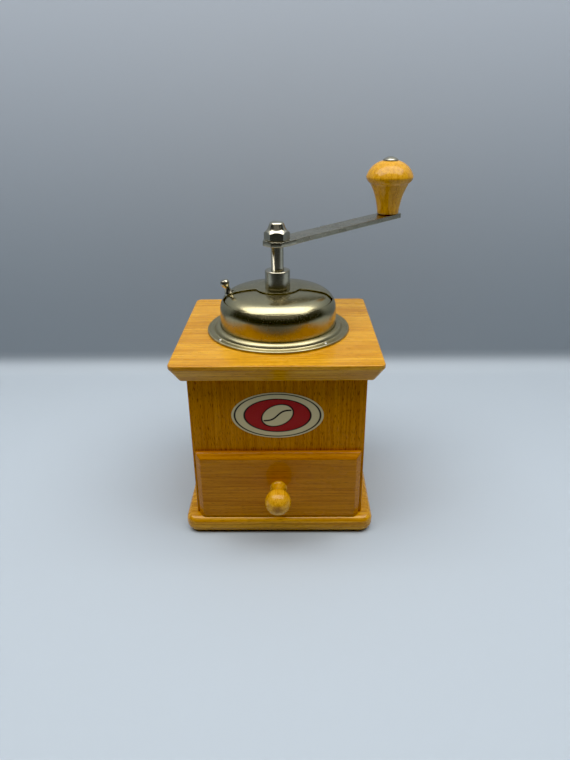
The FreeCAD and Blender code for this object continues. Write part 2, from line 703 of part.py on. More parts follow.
def crank_knob():
    """Turned mushroom knob with a bore for its pin."""
    bore = KNOB_PIN_R + KNOB_FIT
    low = KNOB_GAP
    knob = turned((bore, low), (KNOB_FOOT_R - 0.5, low), (KNOB_FOOT_R, low + 0.5),
                  ((KNOB_NECK_R, KNOB_NECK_Z), (KNOB_FLARE_R, KNOB_FLARE_Z)),
                  ((KNOB_MAX_R - 0.75, KNOB_MAX_Z - 2.1), (KNOB_MAX_R, KNOB_MAX_Z)),
                  ((KNOB_SHOULDER_R, KNOB_SHOULDER_Z), (KNOB_CROWN_R, KNOB_TALL)),
                  (bore, KNOB_TALL))
    return knob_place(knob)


def knob_pin():
    """Rivet that holds the knob: domed head over the knob, tail closed under the arm."""
    head = KNOB_TALL + KNOB_GAP
    under = -CRANK_THICK
    low = under - RIVET_GAP
    tail_arc, tail_tip = domed(RIVET_TAIL_R, low, -RIVET_TAIL)
    pin = turned(tail_tip, (tail_arc, (RIVET_TAIL_R, low)),
                 (KNOB_PIN_R, low), (KNOB_PIN_R, head), (RIVET_HEAD_R, head),
                 (RIVET_HEAD_R, head + RIVET_EDGE),
                 domed(RIVET_HEAD_R, head + RIVET_EDGE, RIVET_HEAD - RIVET_EDGE))
    return knob_place(pin)


# ---- mill ---------------------------------------------------------------------------------------

def housing_screw_places():
    return [(sx * HOUSING_SCREW_X, sy * HOUSING_SCREW_X) for sx in (-1, 1) for sy in (-1, 1)]


def housing_screw(x, y, clearance=0.0):
    """Wood screw up through the housing's flange into the top board, or its hole."""
    seat = BODY_TOP - HOUSING_FLANGE_THICK
    radius = WOOD_SCREW_R + clearance
    tip = seat + WOOD_SCREW_LENGTH
    if clearance:
        body = rod(radius, seat - 1, tip + clearance)
    else:
        body = turned((0, seat - SCREW_HEAD), (SCREW_HEAD_R - 0.8, seat - SCREW_HEAD), (SCREW_HEAD_R, seat - 0.8),
                      (SCREW_HEAD_R, seat), (radius, seat), (radius, tip - 3 * radius), (0, tip))
    body.translate(vec(x, y, 0))
    return body


def housing_screws():
    return Part.makeCompound([housing_screw(x, y) for x, y in housing_screw_places()])


def burr_housing():
    """Cast cup under the top board: square flange, bean chamber above, seat for the ring burr below."""
    flange_z = BODY_TOP - HOUSING_FLANGE_THICK
    cup = rounded_plate(HOUSING_FLANGE, HOUSING_FLANGE, HOUSING_FLANGE_CORNER, flange_z, BODY_TOP)
    cup = cup.fuse(rod(HOUSING_R, HOUSING_BOTTOM, flange_z + 1))
    for x in (-LUG_X, LUG_X):
        cup = cup.fuse(rod(LUG_R, HOUSING_BOTTOM, HOUSING_BOTTOM + LUG_HEIGHT, x))
        inward = x * 0.8
        cup = cup.fuse(block(min(x, inward), max(x, inward), -LUG_R, LUG_R,
                             HOUSING_BOTTOM, HOUSING_BOTTOM + LUG_HEIGHT))
    cup = cup.removeSplitter()
    cup = cup.cut(rod(CHAMBER_R, RING_BURR_TOP - 1, BODY_TOP + 1))
    cup = cup.cut(rod(BURR_SEAT_R + BURR_FIT, HOUSING_BOTTOM - 1, RING_BURR_TOP))
    for x, y in housing_screw_places():
        cup = cup.cut(housing_screw(x, y, SNUG))
    for x in (-LUG_X, LUG_X):
        cup = cup.cut(bridge_screw(x, SNUG))
    return cup


def groove(radius_low, radius_high, z0, z1, slant, outward=False):
    """Slanted three-sided cutter along a cone's surface; its point looks outward to cut a bore."""
    half = TOOTH_DEPTH * 0.8
    inset = -TOOTH_DEPTH if outward else TOOTH_DEPTH

    def section(radius, z, angle):
        points = [vec(radius - inset, 0, z), vec(radius + inset, -2 * half, z), vec(radius + inset, 2 * half, z)]
        wire = Part.makePolygon(points + points[:1])
        wire.rotate(ORIGIN, UP, angle)
        return wire

    return Part.makeLoft([section(radius_low, z0, 0), section(radius_high, z1, slant)], True, True)


def ring_burr():
    """Fixed toothed ring: narrow at its waist, open towards the beans."""
    bottom = HOUSING_BOTTOM
    waist = bottom + RING_BURR_WAIST_Z
    ring = turned((RING_BURR_FOOT_R, bottom), (BURR_SEAT_R, bottom), (BURR_SEAT_R, RING_BURR_TOP),
                  (RING_BURR_MOUTH_R, RING_BURR_TOP), (RING_BURR_WAIST_R, waist))
    lean = -TOOTH_SLANT / 2
    lower = groove(RING_BURR_FOOT_R, RING_BURR_WAIST_R, bottom, waist, lean, True)
    upper = groove(RING_BURR_WAIST_R, RING_BURR_MOUTH_R, waist, RING_BURR_TOP, lean, True)
    upper = spun(upper, lean)
    cutters = []
    for i in range(RING_TEETH):
        turn = 360.0 / RING_TEETH * i
        cutters += [spun(lower, turn), spun(upper, turn)]
    return ring.cut(cutters)


def cone_burr():
    """Turning toothed cone on the shaft."""
    slope = (RING_BURR_FOOT_R - RING_BURR_WAIST_R) / RING_BURR_WAIST_Z
    foot_r = RING_BURR_FOOT_R - slope * CONE_RISE - CONE_GAP
    waist = HOUSING_BOTTOM + RING_BURR_WAIST_Z
    waist_r = RING_BURR_WAIST_R - CONE_GAP
    top = CONE_BOTTOM + CONE_HEIGHT
    bore = SHAFT_R + SNUG
    cone = turned((bore, CONE_BOTTOM), (foot_r, CONE_BOTTOM), (waist_r, waist), (CONE_TOP_R, top), (bore, top))
    lower = groove(foot_r, waist_r, CONE_BOTTOM, waist, TOOTH_SLANT)
    upper = spun(groove(waist_r, CONE_TOP_R, waist, top, 3 * TOOTH_SLANT), TOOTH_SLANT)
    cutters = []
    for i in range(2 * CONE_TEETH):
        cutters.append(spun(lower, 180.0 / CONE_TEETH * i))
    for i in range(CONE_TEETH):
        cutters.append(spun(upper, 360.0 / CONE_TEETH * i))
    return cone.cut(cutters).cut(cross_pin_rod(SNUG))


def cross_pin_rod(clearance=0.0):
    """Pin through the cone burr's hub and the shaft."""
    half = CONE_TOP_R - 0.5 + clearance
    z = CONE_BOTTOM + CONE_HEIGHT - CROSS_PIN_DROP
    return Part.makeCylinder(CROSS_PIN_R + clearance, 2 * half, vec(-half, 0, z), vec(1, 0, 0))


def bridge_screw(x, clearance=0.0):
    """Cheese-head screw that holds the bearing bridge to a lug, or its hole."""
    radius = SCREW_R + clearance
    tip = HOUSING_BOTTOM + LUG_HEIGHT * 0.75
    body = rod(radius, BRIDGE_BOTTOM - (1 if clearance else 0), tip + clearance, x)
    if clearance:
        return body
    slot = SCREW_R / 4
    head = rod(SCREW_HEAD_R, BRIDGE_BOTTOM - SCREW_HEAD, BRIDGE_BOTTOM, x)
    return body.fuse(head).cut(block(-FAR, FAR, -slot, slot, 0, BRIDGE_BOTTOM - SCREW_HEAD / 2))


def bearing_bridge():
    """Bar across the housing's bottom with a threaded boss for the adjusting screw."""
    end = LUG_X + LUG_R
    bar = block(-end, end, -BRIDGE_WIDTH / 2, BRIDGE_WIDTH / 2, BRIDGE_BOTTOM, HOUSING_BOTTOM)
    bar = bar.makeFillet(BRIDGE_WIDTH / 2 - 1, [edge for edge in bar.Edges if is_upright(edge)])
    bar = bar.fuse(rod(BOSS_R, BOSS_BOTTOM, BRIDGE_BOTTOM + 1)).removeSplitter()
    bar = bar.cut(rod(ADJUSTER_R + SHAFT_FIT, BOSS_BOTTOM - 1, HOUSING_BOTTOM + 1))
    for x in (-LUG_X, LUG_X):
        bar = bar.cut(bridge_screw(x, SNUG))
    return bar


def adjusting_screw():
    """Screw with a scalloped head; a ball in its cupped end carries the shaft."""
    head_low = ADJUSTER_HEAD_TOP - ADJUSTER_HEAD
    screw = rod(ADJUSTER_HEAD_R, head_low, ADJUSTER_HEAD_TOP)
    screw = screw.fuse(rod(ADJUSTER_R, ADJUSTER_HEAD_TOP - 1, BALL_Z - BALL_CUP)).removeSplitter()
    screw = screw.cut(Part.makeSphere(BALL_R + BALL_FIT, vec(0, 0, BALL_Z)))
    scallop_r = math.pi * ADJUSTER_HEAD_R / ADJUSTER_NOTCHES / 2
    scallop = rod(scallop_r, head_low - 1, ADJUSTER_HEAD_TOP + 1, ADJUSTER_HEAD_R + scallop_r * 0.3)
    return screw.cut([spun(scallop, 360.0 / ADJUSTER_NOTCHES * i) for i in range(ADJUSTER_NOTCHES)])


def thrust_ball():
    return Part.makeSphere(BALL_R, vec(0, 0, BALL_Z))


# ---- the assembly -------------------------------------------------------------------------------

os.makedirs("parts", exist_ok=True)

NODES = {
    "base_board": base_board(),
    "left_side": side_board(-1),
    "right_side": side_board(1),
    "back_panel": back_panel(),
    "front_panel": front_panel(),
    "top_board": top_board(),
    "base_screws": Part.makeCompound([base_screw(x, y) for x, y in base_screw_places()]),
    "front_label": front_label(),
    "drawer_front": drawer_front(),
    "drawer_left_side": drawer_side(-1),
    "drawer_right_side": drawer_side(1),
    "drawer_back": drawer_back(),
    "drawer_floor": drawer_floor_box(),
    "drawer_knob": drawer_knob(),
    "hopper_dome": hopper_dome(),
    "flange_ring": flange_ring(),
    "flange_nails": flange_nails(),
    "bean_funnel": bean_funnel(),
    "hopper_lid": hopper_lid(),
    "lid_knob": lid_knob(),
    "upper_bearing": upper_bearing(),
    "bearing_nut": bearing_nut(),
    "drive_shaft": drive_shaft(),
    "crank_arm": crank_arm(),
    "cap_nut": cap_nut(),
    "crank_knob": crank_knob(),
    "knob_pin": knob_pin(),
    "burr_housing": burr_housing(),
    "housing_screws": housing_screws(),
    "ring_burr": ring_burr(),
    "cone_burr": cone_burr(),
    "cross_pin": cross_pin_rod(),
    "bearing_bridge": bearing_bridge(),
    "bridge_screws": Part.makeCompound([bridge_screw(x) for x in (-LUG_X, LUG_X)]),
    "adjusting_screw": adjusting_screw(),
    "thrust_ball": thrust_ball(),
}

for node, shape in NODES.items():
    save(node, shape)
    box = shape.BoundBox
    print(f"{node}: solids {len(shape.Solids)}, valid {shape.isValid()}, volume {shape.Volume:.0f} mm3, "
          f"z {box.ZMin:.2f} to {box.ZMax:.2f}")
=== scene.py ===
# %% [markdown]
# # A hand crank coffee grinder, finished in Blender
#
# The grinder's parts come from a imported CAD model: a wooden box with a drawer, a pressed metal hopper
# with a turning lid, and a crank. This lesson gives them their final looks. Nearly every part is shown as
# a clean copy of its CAD mesh, in the same place and size, and most boards and the crank's arm get small
# rounded edges as well. Only the printed label keeps the CAD mesh itself.

# %% Load the frame
import json
import math

import bmesh
import bpy
from mathutils import Matrix, Vector


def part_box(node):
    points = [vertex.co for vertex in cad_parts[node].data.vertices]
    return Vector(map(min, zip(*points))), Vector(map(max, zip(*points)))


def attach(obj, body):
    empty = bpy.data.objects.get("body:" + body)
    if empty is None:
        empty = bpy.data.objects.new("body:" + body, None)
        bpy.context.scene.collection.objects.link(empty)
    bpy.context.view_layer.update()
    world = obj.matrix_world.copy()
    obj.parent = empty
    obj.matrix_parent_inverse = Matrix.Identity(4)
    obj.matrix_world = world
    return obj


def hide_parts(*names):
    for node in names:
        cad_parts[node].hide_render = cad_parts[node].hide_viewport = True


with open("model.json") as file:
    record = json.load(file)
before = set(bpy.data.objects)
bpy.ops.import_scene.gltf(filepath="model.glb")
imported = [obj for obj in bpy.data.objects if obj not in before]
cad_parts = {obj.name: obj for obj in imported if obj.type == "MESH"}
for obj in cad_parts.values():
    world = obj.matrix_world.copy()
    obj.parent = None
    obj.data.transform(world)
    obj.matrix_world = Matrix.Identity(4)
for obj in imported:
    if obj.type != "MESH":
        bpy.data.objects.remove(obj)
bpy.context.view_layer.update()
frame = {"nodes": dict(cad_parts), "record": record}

nodes = frame["nodes"]
MM = 0.001

# %% [markdown]
# ## Camera
#
# The mill is seen from above, from the drawer's side. The camera is given by its place and three angles:
# how far it looks down, how far it turns, and how far it leans. The view's tone curve starts just above
# black, so that the gaps between boards and the hollow under the lid stay deep.

# %% Camera
LOOK_DOWN = math.radians(25.28)
TURN_LEFT = math.radians(0.91)
LEAN = math.radians(-0.67)
CAMERA_PLACE = Vector((0.0099, -0.3742, 0.2589))
LONG_SIDE_MM = 36.0
LENS_MM = 28.58
TONE_BLACK = 0.012


def make_camera():
    data = bpy.data.cameras.new("camera")
    data.sensor_width = LONG_SIDE_MM
    data.lens = LENS_MM
    data.clip_start = 0.01
    data.clip_end = 20.0
    camera = bpy.data.objects.new("camera", data)
    bpy.context.scene.collection.objects.link(camera)
    tilt = Matrix.Rotation(math.pi / 2 - LOOK_DOWN, 4, "X")
    camera.matrix_world = (Matrix.Translation(CAMERA_PLACE) @ Matrix.Rotation(TURN_LEFT, 4, "Z") @ tilt
                           @ Matrix.Rotation(LEAN, 4, "Z"))
    bpy.context.scene.camera = camera


make_camera()
view = bpy.context.scene.view_settings
view.view_transform = "Standard"
view.use_curve_mapping = True
tone = view.curve_mapping.curves[3].points
tone[0].location = (TONE_BLACK, 0.0)
view.curve_mapping.update()
print("camera looks down", round(math.degrees(LOOK_DOWN), 1), "degrees")

# %% [markdown]
# ## Node helpers
#
# Every finish below is built from shader nodes. The first helper makes a node and sets its plain values.
# Each of the others adds one kind of node, links what feeds it and returns the socket with its result, so
# that one call can feed the next. Math and mix take numbers and sockets alike.

# %% Node helpers
def add_node(tree, kind, **values):
    """New node; values name its properties, or its input sockets with _ for a space."""
    node = tree.nodes.new(kind)
    for name, value in values.items():
        if name in node.bl_rna.properties.keys():
            setattr(node, name, value)
        else:
            node.inputs[name.replace("_", " ")].default_value = value
    return node


def add_ramp(tree, factor, stops):
    """Colour ramp through (position, colour) stops, fed by factor."""
    ramp = tree.nodes.new("ShaderNodeValToRGB")
    elements = ramp.color_ramp.elements
    while len(elements) < len(stops):
        elements.new(0.5)
    for element, (position, colour) in zip(elements, stops):
        element.position = position
        element.color = (*colour, 1.0)
    tree.links.new(factor, ramp.inputs["Fac"])
    return ramp.outputs["Color"]


def add_math(tree, operation, first, second=None, third=None, clamp=False):
    """Math node; each operand is a socket or a number."""
    node = tree.nodes.new("ShaderNodeMath")
    node.operation = operation
    node.use_clamp = clamp
    for index, operand in enumerate((first, second, third)):
        if operand is None:
            continue
        if isinstance(operand, (int, float)):
            node.inputs[index].default_value = operand
        else:
            tree.links.new(operand, node.inputs[index])
    return node.outputs[0]


def add_mix(tree, factor, first, second, blend="MIX"):
    """Colour mix; factor is a number or socket, the colours are sockets or tuples."""
    node = tree.nodes.new("ShaderNodeMix")
    node.data_type = "RGBA"
    node.blend_type = blend
    sockets = (node.inputs[0], node.inputs[6], node.inputs[7])
    for socket, value in zip(sockets, (factor, first, second)):
        if isinstance(value, (int, float)):
            socket.default_value = value
        elif isinstance(value, tuple):
            socket.default_value = (*value, 1.0)
        else:
            tree.links.new(value, socket)
    return node.outputs[2]


print("node helpers ready")

# %% [markdown]
# ## Pattern helpers
#
# Grain and tarnish are both made of noise, stretched along one way or left even. These helpers add the
# noise, stretch a vector, measure a distance across a surface, and start a shared node group.

# %% Pattern helpers
def add_noise(tree, vector, scale, detail=3.0, roughness=0.5, distortion=0.0):
    """Noise value at a vector, from 0 to 1."""
    node = tree.nodes.new("ShaderNodeTexNoise")
    node.inputs["Scale"].default_value = scale
    node.inputs["Detail"].default_value = detail
    node.inputs["Roughness"].default_value = roughness
    node.inputs["Distortion"].default_value = distortion
    tree.links.new(vector, node.inputs["Vector"])
    return node.outputs["Fac"]


def add_scaled(tree, vector, scale, shift=(0.0, 0.0, 0.0)):
    """Vector stretched by scale along its axes and moved by shift."""
    node = tree.nodes.new("ShaderNodeMapping")
    node.inputs["Scale"].default_value = scale
    node.inputs["Location"].default_value = shift
    tree.links.new(vector, node.inputs["Vector"])
    return node.outputs["Vector"]


def add_distance(tree, across, upward):
    """Length of a flat vector, from its two parts."""
    squares = [add_math(tree, "MULTIPLY", part, part) for part in (across, upward)]
    return add_math(tree, "SQRT", add_math(tree, "ADD", *squares))


def new_group(name, inputs, outputs):
    """Empty shader node group; inputs and outputs are (name, kind, default) rows."""
    group = bpy.data.node_groups.new(name, "ShaderNodeTree")
    for label, kind, default in inputs:
        socket = group.interface.new_socket(label, in_out="INPUT", socket_type=kind)
        if default is not None:
            socket.default_value = default
    for label, kind in outputs:
        group.interface.new_socket(label, in_out="OUTPUT", socket_type=kind)
    return group, group.nodes.new("NodeGroupInput"), group.nodes.new("NodeGroupOutput")


print("pattern helpers ready")

# %% [markdown]
# ## Beech under lacquer
#
# Beech is plain, close-grained wood. Three things tell it from other woods: short dark dashes along
# the grain where the rays are cut, thin wavy growth lines, and fine pores. A honey-orange lacquer
# covers them. The pattern is made once, as a group that reads a vector whose X runs along the grain,
# in millimetres, so one group serves the flat boards, the turned knobs and the raw drawer sides.

# %% Beech lines and dashes
def add_growth_lines(tree, vector):
    """Wavy lines along the grain, 0 to 1: the sine of a slow noise that a slower one pushes about."""
    waver = add_noise(tree, add_scaled(tree, vector, (0.012, 0.05, 0.05)), 1.0, 2.0)
    place = add_noise(tree, add_scaled(tree, vector, (0.006, 0.22, 0.22)), 1.0, 2.0, 0.4, 0.3)
    phase = add_math(tree, "MULTIPLY_ADD", place, 60.0, add_math(tree, "MULTIPLY", waver, 9.0))
    return add_math(tree, "MULTIPLY_ADD", add_math(tree, "SINE", phase), 0.5, 0.5)


def add_dashes(tree, vector):
    """Dark ray dashes and finer, fainter pores along the grain, 0 to 1."""
    ray_noise = add_noise(tree, add_scaled(tree, vector, (0.26, 2.3, 2.3), (5, 2, 1)), 1.0, 1.0, 0.4)
    rays = add_ramp(tree, ray_noise, [(0.57, (0, 0, 0)), (0.72, (0.9, 0.9, 0.9))])
    pore_noise = add_noise(tree, add_scaled(tree, vector, (0.5, 6.0, 6.0), (1, 9, 4)), 1.0, 2.0, 0.5)
    pores = add_ramp(tree, pore_noise, [(0.56, (0, 0, 0)), (0.74, (0.55, 0.55, 0.55))])
    return add_math(tree, "MAXIMUM", rays, pores)


print("beech patterns ready")

# %% [markdown]
# The group adds a soft cloud and fine streaks of tone to the growth lines, and lays the dashes over them.
# It gives a colour, a roughness and a height. The dashes lie a little deeper than the wood round them.

# %% Beech group
FLOAT, VECTOR, COLOUR = "NodeSocketFloat", "NodeSocketVector", "NodeSocketColor"


def make_beech_group():
    group, source, sink = new_group(
        "beech_grain",
        [("Vector", VECTOR, None), ("Light", COLOUR, (0.72, 0.36, 0.05, 1)),
         ("Dark", COLOUR, (0.45, 0.18, 0.02, 1)), ("Fleck", COLOUR, (0.25, 0.09, 0.01, 1)),
         ("Fleck Amount", FLOAT, 0.6), ("Ring Amount", FLOAT, 0.5)],
        [("Color", COLOUR), ("Roughness", FLOAT), ("Height", FLOAT)])
    vector = source.outputs["Vector"]
    lines = add_growth_lines(group, vector)
    cloud = add_noise(group, add_scaled(group, vector, (0.02, 0.06, 0.06), (3, 1, 7)), 1.0, 3.0)
    streak = add_noise(group, add_scaled(group, vector, (0.012, 0.55, 0.55), (2, 8, 3)), 1.0, 4.0, 0.65)
    streak = add_ramp(group, streak, [(0.44, (0, 0, 0)), (0.57, (1, 1, 1))])
    tone = add_math(group, "MULTIPLY_ADD", lines, 0.35, add_math(group, "MULTIPLY", cloud, 0.30))
    tone = add_math(group, "MULTIPLY_ADD", streak, 0.50, tone)
    tone = add_math(group, "MULTIPLY", tone, source.outputs["Ring Amount"])
    base = add_mix(group, tone, source.outputs["Light"], source.outputs["Dark"])
    dashes = add_dashes(group, vector)
    marks = add_math(group, "MULTIPLY", dashes, source.outputs["Fleck Amount"], clamp=True)
    height = add_math(group, "MULTIPLY_ADD", marks, -0.5, add_math(group, "MULTIPLY", lines, 0.12))
    rough = add_math(group, "MULTIPLY_ADD", cloud, 0.12, 0.22)
    group.links.new(add_mix(group, marks, base, source.outputs["Fleck"]), sink.inputs["Color"])
    group.links.new(rough, sink.inputs["Roughness"])
    group.links.new(height, sink.inputs["Height"])
    return group


BEECH = make_beech_group()
print("beech group sockets:", [item.name for item in BEECH.interface.items_tree])

# %% [markdown]
# Wood and metal materials start the same way, with a Principled shader and Object coordinates made into
# millimetres. A pattern on them keeps its true size and stays still on its part when the part moves.

# %% Start of a material
def object_vector(tree, turn=(0.0, 0.0, 0.0), shift=(0.0, 0.0, 0.0)):
    """Object coordinates in millimetres, turned so that X runs where the maker wants it."""
    coordinates = tree.nodes.new("ShaderNodeTexCoord")
    mapping = add_scaled(tree, coordinates.outputs["Object"], (1000.0, 1000.0, 1000.0), shift)
    mapping.node.inputs["Rotation"].default_value = turn
    return mapping


def new_material(name, colour):
    """Material with a Principled shader; colour is what the plain viewport shows."""
    material = bpy.data.materials.new(name)
    material.use_nodes = True
    material.diffuse_color = (*colour, 1.0)
    return material, material.node_tree, material.node_tree.nodes["Principled BSDF"]


print("start of a material ready")

# %% [markdown]
# A wood material places the group, turns the grain the right way with a Mapping node, and adds a coat
# of lacquer. The lacquer's weight and roughness are plain numbers on the shader itself.

# %% Wood material
GRAIN_ALONG = {"X": (0.0, 0.0, 0.0), "Z": (0.0, math.pi / 2, 0.0), "Y": (0.0, 0.0, -math.pi / 2)}


def wood(name, grain, light, dark, fleck, fleck_amount=0.6, ring_amount=0.7, coat=0.10, rough_add=0.0,
         shift=(0.0, 0.0, 0.0), bump=0.12, shine=0.12):
    """Beech with its grain along one axis; shift moves the pattern, so that two boards differ."""
    material, tree, shader = new_material(name, light)
    group = tree.nodes.new("ShaderNodeGroup")
    group.node_tree = BEECH
    tree.links.new(object_vector(tree, GRAIN_ALONG[grain], shift), group.inputs["Vector"])
    for label, colour in (("Light", light), ("Dark", dark), ("Fleck", fleck)):
        group.inputs[label].default_value = (*colour, 1.0)
    group.inputs["Fleck Amount"].default_value = fleck_amount
    group.inputs["Ring Amount"].default_value = ring_amount
    tree.links.new(group.outputs["Color"], shader.inputs["Base Color"])
    rough = add_math(tree, "ADD", group.outputs["Roughness"], rough_add)
    tree.links.new(rough, shader.inputs["Roughness"])
    shader.inputs["Specular IOR Level"].default_value = shine
    shader.inputs["Coat Weight"].default_value = coat
    shader.inputs["Coat Roughness"].default_value = 0.08
    bump_node = add_node(tree, "ShaderNodeBump", Strength=bump, Distance=0.0003)
    tree.links.new(group.outputs["Height"], bump_node.inputs["Height"])
    tree.links.new(bump_node.outputs["Normal"], shader.inputs["Normal"])
    return material


print("grain can run along", ", ".join(GRAIN_ALONG))

# %% [markdown]
# The drawer's pull is turned with its axis toward the hand, so its round end shows end grain, which
# drinks lacquer and goes dark. The dark spot is placed from the pull's own box.

# %% End grain of the pull
END_DEPTH = 11.0
pull_low, pull_high = (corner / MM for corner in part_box("drawer_knob"))
PULL_HEIGHT = (pull_low.z + pull_high.z) / 2


def add_end_grain(material, radius):
    """Darken a spot round the pull's turning axis, on its front end only."""
    tree = material.node_tree
    shader = tree.nodes["Principled BSDF"]
    base = shader.inputs["Base Color"].links[0].from_socket
    split = tree.nodes.new("ShaderNodeSeparateXYZ")
    tree.links.new(object_vector(tree, shift=(0.0, 0.0, -PULL_HEIGHT)), split.inputs[0])
    away = add_distance(tree, split.outputs["X"], split.outputs["Z"])
    in_front = add_math(tree, "LESS_THAN", split.outputs["Y"], pull_low.y + END_DEPTH)
    amount = tree.nodes.new("ShaderNodeMapRange")
    amount.inputs["From Min"].default_value = radius * 1.5
    amount.inputs["From Max"].default_value = radius * 0.5
    tree.links.new(away, amount.inputs["Value"])
    spot = add_math(tree, "MULTIPLY", add_math(tree, "MULTIPLY", amount.outputs[0], in_front), 0.6)
    tree.links.new(add_mix(tree, spot, base, (0.20, 0.060, 0.006)), shader.inputs["Base Color"])


print("pull's axis is", round(PULL_HEIGHT, 2), "mm high")

# %% [markdown]
# Three palettes do for all the wood. The top and base boards and the turned knobs are honey yellow, the
# upright boards and the drawer's front are a deeper orange, and the rest of the drawer is raw beech. The
# honey
# and orange palettes are painted light: lit and shaded copies of the same lacquered beech, brighter and
# yellower where the overhead light falls, deeper and darker on the upright faces.

# %% Wood finishes
# Painted light: the honey palette is a brighter, yellower lit copy of the lacquer, and the front palette
# below is a darker, shaded copy of it.
HONEY_LIGHT = (0.80, 0.435, 0.034)
HONEY_DARK = (0.52, 0.225, 0.008)
HONEY_FLECK = (0.20, 0.062, 0.004)
FRONT_LIGHT = (0.61, 0.255, 0.012)
FRONT_DARK = (0.39, 0.132, 0.005)
FRONT_FLECK = (0.15, 0.042, 0.003)
RAW_LIGHT = (0.62, 0.42, 0.24)
RAW_DARK = (0.46, 0.29, 0.15)
RAW_FLECK = (0.30, 0.17, 0.08)

lacquer_across = wood("lacquered_beech_across", "X", HONEY_LIGHT, HONEY_DARK, HONEY_FLECK, 0.55, 1.35,
                      coat=0.3, shine=0.25)
lacquer_upright = wood("lacquered_beech_upright", "Z", FRONT_LIGHT, FRONT_DARK, FRONT_FLECK, 0.95, 0.85)
lacquer_drawer = wood("lacquered_beech_drawer", "X", FRONT_LIGHT, FRONT_DARK, FRONT_FLECK, 0.45, 0.9,
                      coat=0.3, shift=(40.0, 13.0, 22.0))
lacquer_turned = wood("lacquered_beech_turned", "Z", HONEY_LIGHT, HONEY_DARK, HONEY_FLECK, 0.55, 0.8,
                      coat=0.45, shift=(11.0, 4.0, 9.0))
lacquer_pull = wood("lacquered_beech_pull", "Y", HONEY_LIGHT, HONEY_DARK, HONEY_FLECK, 0.4, 0.8, coat=0.45)
add_end_grain(lacquer_pull, 2.6)
raw_across = wood("raw_beech", "Y", RAW_LIGHT, RAW_DARK, RAW_FLECK, 0.6, 0.7, coat=0.0, rough_add=0.35)
raw_floor = wood("drawer_plywood", "X", RAW_LIGHT, RAW_DARK, RAW_FLECK, 0.4, 1.0, coat=0.0, rough_add=0.4)
print("wood finishes:", [m.name for m in bpy.data.materials])

# %% [markdown]
# ## Old nickel
#
# The sheet and the turned steel are nickel plated. Old nickel is warm grey with a yellow cast, a
# little cloudy, and freckled with small pits where damp got under the plate. One group makes that
# freckle and cloud pattern; each metal material uses it with its own amounts.

# %% Old metal group
def make_patina_group():
    group, source, sink = new_group(
        "old_metal",
        [("Vector", VECTOR, None), ("Metal", COLOUR, (0.6, 0.58, 0.5, 1)),
         ("Tarnish", COLOUR, (0.3, 0.25, 0.15, 1)), ("Freckles", FLOAT, 0.5), ("Clouding", FLOAT, 0.5),
         ("Base Roughness", FLOAT, 0.2)],
        [("Color", COLOUR), ("Roughness", FLOAT), ("Height", FLOAT)])
    vector = source.outputs["Vector"]
    cloud = add_noise(group, vector, 0.06, 4.0, 0.6, 0.4)
    patches = add_noise(group, vector, 0.16, 3.0, 0.5)
    speck = add_noise(group, vector, 1.5, 2.0, 0.6)
    speck_mask = add_ramp(group, speck, [(0.60, (0, 0, 0)), (0.72, (1, 1, 1))])
    patch_mask = add_ramp(group, patches, [(0.42, (0.1, 0.1, 0.1)), (0.62, (1, 1, 1))])
    freckle = add_math(group, "MULTIPLY", speck_mask, patch_mask)
    freckle = add_math(group, "MULTIPLY", freckle, source.outputs["Freckles"], clamp=True)
    cloud_mask = add_ramp(group, cloud, [(0.38, (0, 0, 0)), (0.70, (1, 1, 1))])
    cloud_mask = add_math(group, "MULTIPLY", cloud_mask, source.outputs["Clouding"], clamp=True)
    stain = add_math(group, "MAXIMUM", freckle, add_math(group, "MULTIPLY", cloud_mask, 0.5))
    colour = add_mix(group, stain, source.outputs["Metal"], source.outputs["Tarnish"])
    rough = add_math(group, "MULTIPLY_ADD", freckle, 0.25, source.outputs["Base Roughness"])
    rough = add_math(group, "MULTIPLY_ADD", cloud_mask, 0.10, rough)
    fine = add_noise(group, vector, 0.9, 3.0, 0.5)
    height = add_math(group, "MULTIPLY_ADD", freckle, -0.6, add_math(group, "MULTIPLY", fine, 0.25))
    group.links.new(colour, sink.inputs["Color"])
    group.links.new(rough, sink.inputs["Roughness"])
    group.links.new(height, sink.inputs["Height"])
    return group


OLD_METAL = make_patina_group()
print("old metal group sockets:", [item.name for item in OLD_METAL.interface.items_tree])

# %% [markdown]
# A metal material feeds the group's colour, roughness and height to the shader. A Bevel node rounds the
# shading at sharp edges by a fraction of a millimetre, because worn plate never has a knife edge.

# %% Metal material
def metal(name, colour, tarnish, freckles, clouding, roughness, bump=0.1, metallic=1.0, edge=0.0002):
    """Plated or bare metal; edge is how far the shading is rounded at corners, in metres."""
    material, tree, shader = new_material(name, colour)
    group = tree.nodes.new("ShaderNodeGroup")
    group.node_tree = OLD_METAL
    tree.links.new(object_vector(tree), group.inputs["Vector"])
    group.inputs["Metal"].default_value = (*colour, 1.0)
    group.inputs["Tarnish"].default_value = (*tarnish, 1.0)
    group.inputs["Freckles"].default_value = freckles
    group.inputs["Clouding"].default_value = clouding
    group.inputs["Base Roughness"].default_value = roughness
    tree.links.new(group.outputs["Color"], shader.inputs["Base Color"])
    tree.links.new(group.outputs["Roughness"], shader.inputs["Roughness"])
    shader.inputs["Metallic"].default_value = metallic
    soft_edge = add_node(tree, "ShaderNodeBevel", samples=6, Radius=edge)
    bump_node = add_node(tree, "ShaderNodeBump", Strength=bump, Distance=0.0002)
    tree.links.new(group.outputs["Height"], bump_node.inputs["Height"])
    tree.links.new(soft_edge.outputs["Normal"], bump_node.inputs["Normal"])
    tree.links.new(bump_node.outputs["Normal"], shader.inputs["Normal"])
    return material


print("metal material ready")

# %% [markdown]
# The pressed sheet is yellowed and freckled, the turned parts are cleaner and whiter, and the arm, which
# hands rub, is the most stained. Screws, nails and pins are plain steel, and the castings are dark iron.

